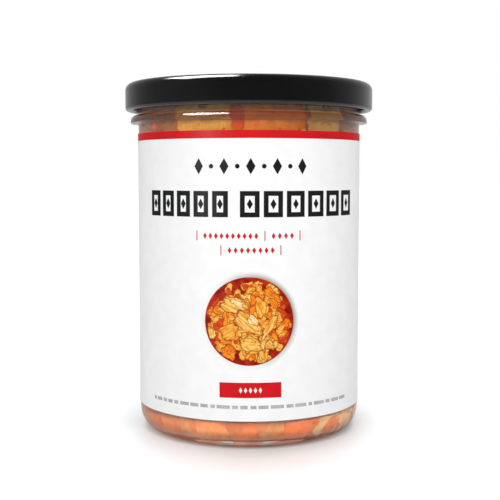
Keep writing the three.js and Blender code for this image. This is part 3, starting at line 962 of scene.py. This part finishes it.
# Pieces that show at the front: angle, height, size along and up, lean, colour
FRONT_STEMS = [
    (-32, 105.6, (10, 12), 8, GOLD), (-18, 106.4, (13, 12), -6, GOLD),
    (37, 105.8, (7, 12), 14, OLIVE), (48, 105.0, (8, 12), -10, OLIVE),
    (-21, 4.0, (13, 13), -8, CREAM), (-3, 4.5, (9, 12), 4, PEACH),
    (47, 5.0, (11, 12), -10, PALE), (64, 5.5, (10, 12), 12, PALE), (27, 4.0, (10, 12), 12, PEACH),
]
FRONT_LEAVES = [
    (-76, 106, (13, 13), 20, MAUVE_AND_SHADE), (-60, 105.5, (12, 12), -12, BROWN_AND_SHADE),
    (-46, 106, (11, 12), 15, BROWN_AND_SHADE), (5, 106.0, (13, 12), 5, ORANGE),
    (20, 105.6, (12, 12), -8, ORANGE), (60, 106, (11, 12), -10, BROWN_AND_SHADE),
    (75, 106, (12, 12), 16, MAUVE_AND_SHADE), (-24, 111.4, (18, 5), 2, MAUVE_AND_SHADE),
    (33, 107.6, (4.5, 5), 20, MAUVE_AND_SHADE), (-66, 5.5, (13, 12), -14, PEACH),
    (-50, 5, (12, 12), 12, PEACH), (-36, 4.5, (12, 13), -8, PEACH),
    (11, 5.0, (13, 12), -10, PEACH), (80, 5.5, (12, 12), 6, PALE),
]
FRONT_CHILLI = [
    (-5.5, 105.6, (4.2, 10), 6, CHILLI_RED), (-58, 104.0, (2.6, 3.0), 10, CHILLI_RED),
    (-54, 6.0, (3.0, 4.0), 20, CHILLI_RED),
]
TOP_BAND = {"heights": (102.5, 108.5),
            "colours": (ORANGE, ORANGE, GOLD, GOLD, BROWN_AND_SHADE, OLIVE, MAUVE_AND_SHADE)}
FOOT_BAND = {"heights": (1.0, 8.5), "colours": (PEACH, PEACH, ORANGE, CREAM, CREAM, PEACH)}
FLOOR_RINGS = ((-6, 13), (-14, 9), (-22, 5))
FRONT_HALF_ANGLE = 84
FLAKE_COUNT = 80


def wall_gap(height, usual):
    """How far a piece is from the glass: those at the foot are pressed on to it."""
    return PRESSED_GAP if height < FOOT_BAND["heights"][1] else usual


def add_ring_of_pieces(heap, band, count, gap, keep_front, thickness):
    """Lay pieces side by side round the wall, or only where no piece is listed."""
    rng = heap.rng
    for i in range(count):
        turn = -180 + 360 * (i + rng.uniform(-0.3, 0.3)) / count
        size = (rng.uniform(10, 17), rng.uniform(9, 14))
        height, lean = rng.uniform(*band["heights"]), rng.uniform(-35, 35)
        colour = rng.choice(band["colours"])
        if keep_front and abs(turn) < FRONT_HALF_ANGLE:
            continue
        loose_gap = wall_gap(height, gap) + rng.uniform(0, 0.3)
        heap.add(turn, height, size, lean, colour, thickness, 0.4, loose_gap)


def make_kimchi():
    """The core, the pieces that the glass shows, the chilli flakes and the brine."""
    make_core()
    stems, leaves, chilli = Heap(11), Heap(12), Heap(13)
    for piece in FRONT_STEMS:
        stems.add(*piece, STEM_THICKNESS, 0.3, wall_gap(piece[1], FOOD_GAP))
    for piece in FRONT_LEAVES:
        leaves.add(*piece, FRONT_LEAF_THICKNESS, 0.5, wall_gap(piece[1], FOOD_GAP + 0.1))
    for band in (TOP_BAND, FOOT_BAND):
        add_ring_of_pieces(stems, band, 16, FOOD_GAP, True, STEM_THICKNESS)
        add_ring_of_pieces(leaves, band, 20, FOOD_GAP + 0.15, True, LEAF_THICKNESS)
        add_ring_of_pieces(leaves, band, 26, FOOD_GAP + 0.7, False, LEAF_THICKNESS)
    for height, count in FLOOR_RINGS:
        for i in range(count):
            heap = stems if i % 3 == 0 else leaves
            size = (heap.rng.uniform(10, 15), heap.rng.uniform(8, 12))
            colour = heap.rng.choice(FOOT_BAND["colours"])
            lean = heap.rng.uniform(-40, 40)
            heap.add(360 * i / count, height, size, lean, colour, LEAF_THICKNESS, 0.0, PRESSED_GAP)
    for piece in FRONT_CHILLI:
        chilli.add(*piece, 0.5, 0.1, CHILLI_GAP, (6, 6))
    rng = chilli.rng
    for i in range(FLAKE_COUNT):
        band = (TOP_BAND, FOOT_BAND)[i % 2]
        length = rng.uniform(0.5, 1.2)
        size = (length, length * rng.uniform(0.5, 1.0))
        turn, height = rng.uniform(-180, 180), rng.uniform(*band["heights"])
        lean = rng.uniform(0, 180)
        chilli.add(turn, height, size, lean, CHILLI_RED, 0.3, 0.05, CHILLI_GAP, (4, 4))
    stems.finish("cabbage_stems", make_food("cabbage_stem", *STEM_FLESH))
    leaves.finish("cabbage_leaves", make_food("cabbage_leaf", *LEAF_FLESH))
    chilli.finish("chilli_flakes", make_food("chilli_flake", *CHILLI_FLESH))
    make_brine()


def make_core():
    """The mass of small shreds and sauce that the larger pieces are set in."""
    wall = INNER_RADIUS - CORE_DEPTH
    profile = [(0, inside_glass(-40, CORE_DEPTH)[1])]
    profile += [inside_glass(z, CORE_DEPTH) for z in (-20, -12, -6, -2, 0, 2, 4, 6, 8, 10)]
    profile += [(wall, z) for z in range(11, int(CORE_TOP))]
    profile += [(wall - 0.6, CORE_TOP), (30, CORE_TOP + 0.4), (20, CORE_TOP + 0.2)]
    profile += [(10, CORE_TOP + 0.5), (0, CORE_TOP + 0.3)]
    bm = spun(profile, CORE_STEPS)
    for vert in bm.verts:
        place = vert.co * 0.32
        swell = noise.noise(place) * 1.1 + noise.noise(place * 2.7) * 0.5
        vert.co += Vector((vert.co.x, vert.co.y, 0)).normalized() * (swell - 0.4)
    turn_out(bm)
    new_piece(bm, "kimchi_core", make_sauce(), ["kimchi"], sharp=60)


def make_brine():
    """The liquid round the pieces, which reaches just into the glass all over."""
    reach = (INNER_HEEL[0] + INTO_WALL, INNER_HEEL[1] + INTO_WALL)
    wall = INNER_RADIUS + INTO_WALL
    profile = dome(INNER_HEEL_RADIUS, BASE_THICKNESS - INTO_WALL)
    profile += arc((INNER_HEEL_RADIUS, INNER_HEEL_TOP), reach, -90, 0, 12)
    profile += [(wall, INNER_STRAIGHT_BOTTOM), (wall, STRAIGHT_TOP), (wall, BRINE_LEVEL)]
    profile += [(INNER_RADIUS - 0.6, BRINE_LEVEL - 0.35)]
    profile += [(INNER_RADIUS - 2, BRINE_LEVEL - BRINE_SAG), (0, BRINE_LEVEL - BRINE_SAG)]
    brine = clear_liquid_or_glass("chilli_brine", (1.0, 0.86, 0.66), 90.0)
    new_piece(spun(profile), "brine", brine)


# Floor, light and camera, in metres and watts

FLOOR_HALF_WIDTH = 6.0
# The floor's colours, its painted glow and its painted contact shadow, from the jar's axis out, as shares
# of this distance
FLOOR_REACH = 0.2
# The glow that the camera sees is painted light: none near the jar, as a painted shadow, brightening
# outwards, and it rises sooner to the sides than in front
GLOW_STRETCH = (1.75, 1, 0)
FLOOR_GLOW = [(0.0, (0, 0, 0)), (0.17, (0, 0, 0)), (0.2, (0.05, 0.045, 0.045)),
              (0.5, (0.4, 0.4, 0.4)), (1.0, (0.6, 0.6, 0.6))]
FLOOR_LIGHT_UNDER = [(0.0, (0.5, 0.45, 0.45)), (0.165, (0.5, 0.45, 0.45)), (0.175, (0, 0, 0))]
# Painted contact shadow: dark brown under the jar, then white further out
FLOOR_COLOUR_AND_CONTACT_SHADE = [(0.0, (0.14, 0.08, 0.05)), (0.170, (0.14, 0.08, 0.05)),
                (0.19, (0.90, 0.95, 0.97)), (0.3, (1, 1, 1))]


def make_floor():
    """A white floor with painted light: a glow for the camera that fades close to the jar as a painted
    shadow, a dark brown patch under the jar as a painted contact shadow, and a glow under the jar that
    lights its foot from below.
    """
    bm = bmesh.new()
    bmesh.ops.create_grid(bm, x_segments=1, y_segments=1, size=FLOOR_HALF_WIDTH)
    material, tree, shader = surface("studio_floor_white", IOR=1.45, Emission_Strength=1.0)
    place = object_place(tree)
    out = stretched(tree, vector_sum(tree, "LENGTH", place), 0.0, FLOOR_REACH)
    wide = vector_sum(tree, "MULTIPLY", place, GLOW_STRETCH)
    wide_out = stretched(tree, vector_sum(tree, "LENGTH", wide), 0.0, FLOOR_REACH)
    glow = ramp(tree, wide_out, FLOOR_GLOW)
    under = ramp(tree, out, FLOOR_LIGHT_UNDER)
    seen = blend(tree, add(tree, "LightPath").outputs["Is Camera Ray"], under, glow)
    tint = use_group(tree, MOTTLE, Colour_A=(0.93, 0.93, 0.93, 1), Colour_B=(0.90, 0.90, 0.90, 1),
                     Scale=3.0)
    colour = blend(tree, 1.0, ramp(tree, out, FLOOR_COLOUR_AND_CONTACT_SHADE), tint.outputs["Colour"], "MULTIPLY")
    handling = use_group(tree, HANDLING, Roughness=0.28, Smudge=0.04, Smudge_Scale=4.0, Grain_Scale=50.0)
    fill(tree, shader, Emission_Color=seen, Base_Color=colour,
         Roughness=handling.outputs["Roughness"])
    floor = object_from(bm, "studio_floor", material)


# The room is brightest on this side, with some glow on the far left
BRIGHT_SIDE = (0.27, 0.963, 0.0)
BRIGHT_RANGE, BRIGHT_CURVE = (-0.3, 1.0), 1.7
BRIGHT_GAIN, DARK_SIDE = 0.64, 0.028
LEFT_RANGE, LEFT_GLOW = (-0.3, -1.0), 0.18
BACK_RANGE = (0.1, 0.8)
ROOM_LIGHT = 0.54

# Lights: name, place, width, height, power
LIGHT_TARGET = (0, 0, 0.09)
SOFT_LIGHTS = (
    ("key_light", (-0.40, -0.85, 0.55), 0.7, 0.7, 3.4),
    ("fill_light", (0.48, -0.80, 0.62), 0.7, 0.7, 3.3),
    ("top_light", (0.0, 0.1, 0.9), 0.8, 0.8, 2.3),
)
STREAK_LIGHT = ("streak_light", (-0.26, 0.03, 0.72), 0.42, 0.42, 12.0)
BEAD_LIGHT = ("bead_light", (-0.505, -0.47, 0.64), 0.66, 0.66, 24.0)
PAPER_LIGHT = ("paper_light", (-0.45, -0.50, 0.30), 0.22, 0.40, 18.0)

# Narrow lights on the food: name, place, power, height they are aimed at
FOOD_LIGHTS = (
    ("foot_light", (0.0, -0.39, 0.125), 0.13, 0.006),
    ("left_foot_light", (-0.36, -0.15, 0.125), 0.02, 0.006),
    ("right_foot_light", (0.36, -0.15, 0.125), 0.08, 0.006),
    ("neck_light", (0.16, -0.39, 0.20), 0.07, 0.106),
)
FOOD_LIGHT_WIDTH, FOOD_LIGHT_HEIGHT, FOOD_LIGHT_SPREAD = 0.5, 0.04, 22


def add_light(name, place, width, height, power, target=LIGHT_TARGET, mirrored=False):
    """A soft light that is aimed at the jar, or that only shows as a reflection."""
    light = bpy.data.lights.new(name, "AREA")
    light.shape = "RECTANGLE"
    light.size = width
    light.size_y = height
    light.energy = power
    lamp = place_object(name, light)
    lamp.location = place
    lamp.rotation_euler = (Vector(target) - Vector(place)).to_track_quat("-Z", "Y").to_euler()
    lamp.visible_glossy = mirrored
    lamp.visible_diffuse = not mirrored
    lamp.visible_transmission = False
    return lamp


def only_light(lamp, names):
    """Let a light reach only the named pieces."""
    group = bpy.data.collections.new(lamp.name + "_pieces")
    for name in names:
        group.objects.link(bpy.data.objects[name])
    lamp.light_linking.receiver_collection = group


def make_room():
    """Pale surroundings, dark in front and brightest behind to the right."""
    world = bpy.data.worlds.new("studio")
    world.use_nodes = True
    tree = world.node_tree
    direction = add(tree, "TexCoord").outputs["Generated"]
    path = add(tree, "LightPath").outputs
    tilt = vector_sum(tree, "DOT_PRODUCT", direction, BRIGHT_SIDE)
    curve = sum_of(tree, "POWER", stretched(tree, tilt, *BRIGHT_RANGE), BRIGHT_CURVE)
    reflected = sum_of(tree, "MULTIPLY_ADD", curve, BRIGHT_GAIN, DARK_SIDE)
    split = add(tree, "SeparateXYZ", Vector=direction).outputs
    left = stretched(tree, split["X"], *LEFT_RANGE, 0.0, LEFT_GLOW)
    around = sum_of(tree, "ADD", reflected, left)
    back = stretched(tree, split["Y"], *BACK_RANGE, curve="SMOOTHSTEP")
    through = sum_of(tree, "MULTIPLY", back, path["Is Transmission Ray"])
    bright = sum_of(tree, "MAXIMUM", through, path["Is Camera Ray"])
    seen = sum_of(tree, "MAXIMUM", bright, around)
    lit = add(tree, "Mix", i0=path["Is Diffuse Ray"], i2=seen, i3=ROOM_LIGHT)
    fill(tree, tree.nodes["Background"], Color=(1, 1, 1, 1), Strength=lit.outputs[0])
    bpy.context.scene.world = world


def light_studio():
    """Soft lights in front and above, reflections in the glass, and light on the food."""
    make_room()
    for settings in SOFT_LIGHTS:
        add_light(*settings)
    add_light(*STREAK_LIGHT, mirrored=True)
    bead_light = add_light(*BEAD_LIGHT, mirrored=True)
    bead_light.data.shape = "ELLIPSE"
    only_light(bead_light, ["jar_glass"])
    paper_light = add_light(*PAPER_LIGHT, mirrored=True)
    only_light(paper_light, [name for name in bpy.data.objects.keys()
                             if name.startswith(("label", "print"))])
    for name, place, power, height in FOOD_LIGHTS:
        lamp = add_light(name, place, FOOD_LIGHT_WIDTH, FOOD_LIGHT_HEIGHT, power, (0, 0, height))
        lamp.data.spread = math.radians(FOOD_LIGHT_SPREAD)
        only_light(lamp, ["cabbage_stems", "cabbage_leaves", "chilli_flakes", "kimchi_core"])


CAMERA_PLACE = (0.0004, -0.3594, 0.0887)
CAMERA_DROP = 4.32
SENSOR_WIDTH, LENS = 36.0, 73.2
NEAREST_SEEN = 0.01


def set_camera():
    """The photo's view: a short tele lens, just above the middle of the jar."""
    camera = bpy.data.cameras.new("camera")
    camera.sensor_width = SENSOR_WIDTH
    camera.lens = LENS
    camera.clip_start = NEAREST_SEEN
    seat = place_object("camera", camera)
    seat.location = CAMERA_PLACE
    seat.rotation_euler = (math.radians(90 - CAMERA_DROP), 0, 0)
    bpy.context.scene.camera = seat
    bpy.context.scene.view_settings.view_transform = "Standard"


set_camera()
make_floor()
make_glass()
make_lid()
make_label()
make_red_print()
make_black_print()
make_pale_print()
make_bowl_rim()
make_bowl_sauce()
make_bowl_leaves()
make_kimchi()
light_studio()
